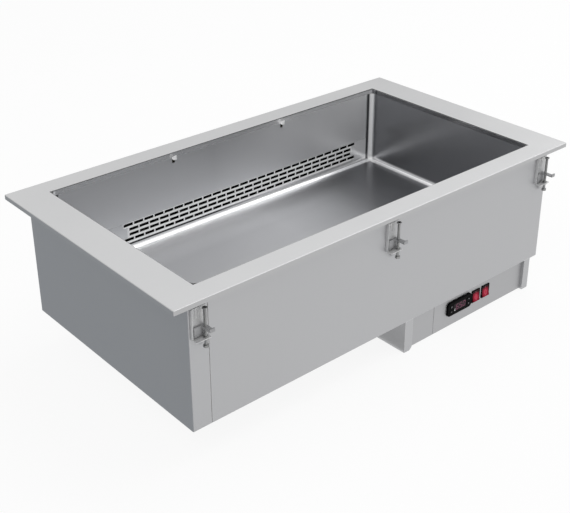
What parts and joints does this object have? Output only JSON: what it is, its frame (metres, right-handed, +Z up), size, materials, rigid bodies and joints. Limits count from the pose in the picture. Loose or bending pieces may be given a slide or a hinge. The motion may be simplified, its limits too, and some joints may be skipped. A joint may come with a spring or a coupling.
{
  "type": "bain marie",
  "caption": "Drop-in bain marie: a deep steel well under a flat lipped flange, a slotted rear wall for hot air, hold-down clamps and a control box hung below its base.",
  "frame": {"origin": "centre of the well in the plane of the counter top, where the flange's lip rests", "axes": "+X to the right along the operator's side, +Y to the rear, +Z up"},
  "size_m": [1.13, 0.6408, 0.3755],
  "materials": {
    "satin_steel": "satin stainless steel",
    "casing_steel": "fine brushed stainless sheet",
    "galvanised_sheet": "plain aluminised sheet",
    "mineral_wool": "soft mineral wool board",
    "zinc_steel": "bright zinc plate",
    "element_sheath": "heat-darkened sheath",
    "brass": "plain turned brass",
    "motor_iron": "dark lacquered iron",
    "bearing_rubber": "black moulded rubber",
    "wheel_aluminium": "plain rolled aluminium",
    "probe_steel": "polished steel tube",
    "black_plastic": "fine matt black",
    "dark_window": "smooth dark glossy window",
    "key_plastic": "soft dark grey",
    "red_rocker": "smooth translucent red",
    "red_button": "smooth red",
    "pale_plastic": "matt off-white"
  },
  "bodies": {
    "unit": {"top_flange": "satin_steel", "well_tub": "satin_steel", "divider_hooks": "satin_steel", "casing_front": "casing_steel", "casing_rear": "casing_steel", "casing_left_end": "casing_steel", "casing_right_end": "casing_steel", "casing_base": "casing_steel", "control_box_left_side": "casing_steel", "control_box_right_side": "casing_steel", "control_box_base": "casing_steel", "control_box_rear": "casing_steel", "control_panel": "casing_steel", "filler_panel": "casing_steel", "air_chamber_pan": "galvanised_sheet", "rear_air_duct": "galvanised_sheet", "duct_divider": "galvanised_sheet", "element_brackets": "galvanised_sheet", "blower_housing": "galvanised_sheet", "bulb_clips": "galvanised_sheet", "insulation_floor": "mineral_wool", "insulation_front": "mineral_wool", "insulation_rear": "mineral_wool", "insulation_ends": "mineral_wool", "box_screws": "zinc_steel", "clamp_brackets": "zinc_steel", "heating_element": "element_sheath", "element_bushes": "brass", "blower_motor": "motor_iron", "blower_bearing": "bearing_rubber", "air_probe": "probe_steel", "limit_bulb": "probe_steel", "limit_thermostat": "black_plastic", "controller_case": "black_plastic", "heat_switch_housing": "black_plastic", "fan_switch_housing": "black_plastic", "cable_gland": "black_plastic", "gland_cap": "black_plastic", "controller_window": "dark_window", "terminal_block": "pale_plastic"},
    "blower_wheel_body": {"blower_wheel": "wheel_aluminium"},
    "heat_rocker_body": {"heat_switch_rocker": "red_rocker"},
    "fan_rocker_body": {"fan_switch_rocker": "red_rocker"},
    "key_set_body": {"controller_key_set": "key_plastic"},
    "key_timer_body": {"controller_key_timer": "key_plastic"},
    "key_up_body": {"controller_key_up": "key_plastic"},
    "key_down_body": {"controller_key_down": "key_plastic"},
    "reset_button_body": {"reset_button": "red_button"},
    "clamp_screw_1_body": {"clamp_screw_1": "zinc_steel"},
    "clamp_claw_1_body": {"clamp_claw_1": "zinc_steel"},
    "clamp_screw_2_body": {"clamp_screw_2": "zinc_steel"},
    "clamp_claw_2_body": {"clamp_claw_2": "zinc_steel"},
    "clamp_screw_3_body": {"clamp_screw_3": "zinc_steel"},
    "clamp_claw_3_body": {"clamp_claw_3": "zinc_steel"},
    "clamp_screw_4_body": {"clamp_screw_4": "zinc_steel"},
    "clamp_claw_4_body": {"clamp_claw_4": "zinc_steel"},
    "clamp_screw_5_body": {"clamp_screw_5": "zinc_steel"},
    "clamp_claw_5_body": {"clamp_claw_5": "zinc_steel"},
    "clamp_screw_6_body": {"clamp_screw_6": "zinc_steel"},
    "clamp_claw_6_body": {"clamp_claw_6": "zinc_steel"}
  },
  "joints": [
    {"name": "blower_spin", "type": "hinge", "parent": "unit", "child": "blower_wheel_body", "pos_m": [-0.2, 0.2125, -0.22565], "axis": [1, 0, 0], "continuous": true},
    {"name": "heat_rocker_tip", "type": "hinge", "parent": "unit", "child": "heat_rocker_body", "pos_m": [0.306, -0.2797, -0.3175], "axis": [1, 0, 0], "range_deg": [0, 18]},
    {"name": "fan_rocker_tip", "type": "hinge", "parent": "unit", "child": "fan_rocker_body", "pos_m": [0.3405, -0.2797, -0.3175], "axis": [1, 0, 0], "range_deg": [0, 18]},
    {"name": "key_set_press", "type": "slide", "parent": "unit", "child": "key_set_body", "axis": [0, 1, 0], "range_m": [0, 0.0006], "stiffness_N_per_m": 1500, "springref_m": -0.0004},
    {"name": "key_timer_press", "type": "slide", "parent": "unit", "child": "key_timer_body", "axis": [0, 1, 0], "range_m": [0, 0.0006], "stiffness_N_per_m": 1500, "springref_m": -0.0004},
    {"name": "key_up_press", "type": "slide", "parent": "unit", "child": "key_up_body", "axis": [0, 1, 0], "range_m": [0, 0.0006], "stiffness_N_per_m": 1500, "springref_m": -0.0004},
    {"name": "key_down_press", "type": "slide", "parent": "unit", "child": "key_down_body", "axis": [0, 1, 0], "range_m": [0, 0.0006], "stiffness_N_per_m": 1500, "springref_m": -0.0004},
    {"name": "reset_press", "type": "slide", "parent": "unit", "child": "reset_button_body", "axis": [0, -1, 0], "range_m": [0, 0.0025], "stiffness_N_per_m": 800, "springref_m": -0.001},
    {"name": "clamp_screw_1_turn", "type": "hinge", "parent": "unit", "child": "clamp_screw_1_body", "pos_m": [-0.4915, -0.298, -0.06], "axis": [0, 0, -1], "range_deg": [-725, 13325]},
    {"name": "clamp_claw_1_lift", "type": "slide", "parent": "unit", "child": "clamp_claw_1_body", "axis": [0, 0, 1], "range_m": [-0.002, 0.037]},
    {"name": "clamp_screw_2_turn", "type": "hinge", "parent": "unit", "child": "clamp_screw_2_body", "pos_m": [0.008, -0.298, -0.06], "axis": [0, 0, -1], "range_deg": [-725, 13325]},
    {"name": "clamp_claw_2_lift", "type": "slide", "parent": "unit", "child": "clamp_claw_2_body", "axis": [0, 0, 1], "range_m": [-0.002, 0.037]},
    {"name": "clamp_screw_3_turn", "type": "hinge", "parent": "unit", "child": "clamp_screw_3_body", "pos_m": [0.5075, -0.298, -0.06], "axis": [0, 0, -1], "range_deg": [-725, 13325]},
    {"name": "clamp_claw_3_lift", "type": "slide", "parent": "unit", "child": "clamp_claw_3_body", "axis": [0, 0, 1], "range_m": [-0.002, 0.037]},
    {"name": "clamp_screw_4_turn", "type": "hinge", "parent": "unit", "child": "clamp_screw_4_body", "pos_m": [-0.4515, 0.298, -0.06], "axis": [0, 0, -1], "range_deg": [-725, 13325]},
    {"name": "clamp_claw_4_lift", "type": "slide", "parent": "unit", "child": "clamp_claw_4_body", "axis": [0, 0, 1], "range_m": [-0.002, 0.037]},
    {"name": "clamp_screw_5_turn", "type": "hinge", "parent": "unit", "child": "clamp_screw_5_body", "pos_m": [0.008, 0.298, -0.06], "axis": [0, 0, -1], "range_deg": [-725, 13325]},
    {"name": "clamp_claw_5_lift", "type": "slide", "parent": "unit", "child": "clamp_claw_5_body", "axis": [0, 0, 1], "range_m": [-0.002, 0.037]},
    {"name": "clamp_screw_6_turn", "type": "hinge", "parent": "unit", "child": "clamp_screw_6_body", "pos_m": [0.4675, 0.298, -0.06], "axis": [0, 0, -1], "range_deg": [-725, 13325]},
    {"name": "clamp_claw_6_lift", "type": "slide", "parent": "unit", "child": "clamp_claw_6_body", "axis": [0, 0, 1], "range_m": [-0.002, 0.037]}
  ],
  "couplings": [
    {"joint": "clamp_screw_1_turn", "follows": "clamp_claw_1_lift", "rad_per_m": 6283.2},
    {"joint": "clamp_screw_2_turn", "follows": "clamp_claw_2_lift", "rad_per_m": 6283.2},
    {"joint": "clamp_screw_3_turn", "follows": "clamp_claw_3_lift", "rad_per_m": 6283.2},
    {"joint": "clamp_screw_4_turn", "follows": "clamp_claw_4_lift", "rad_per_m": 6283.2},
    {"joint": "clamp_screw_5_turn", "follows": "clamp_claw_5_lift", "rad_per_m": 6283.2},
    {"joint": "clamp_screw_6_turn", "follows": "clamp_claw_6_lift", "rad_per_m": 6283.2}
  ]
}
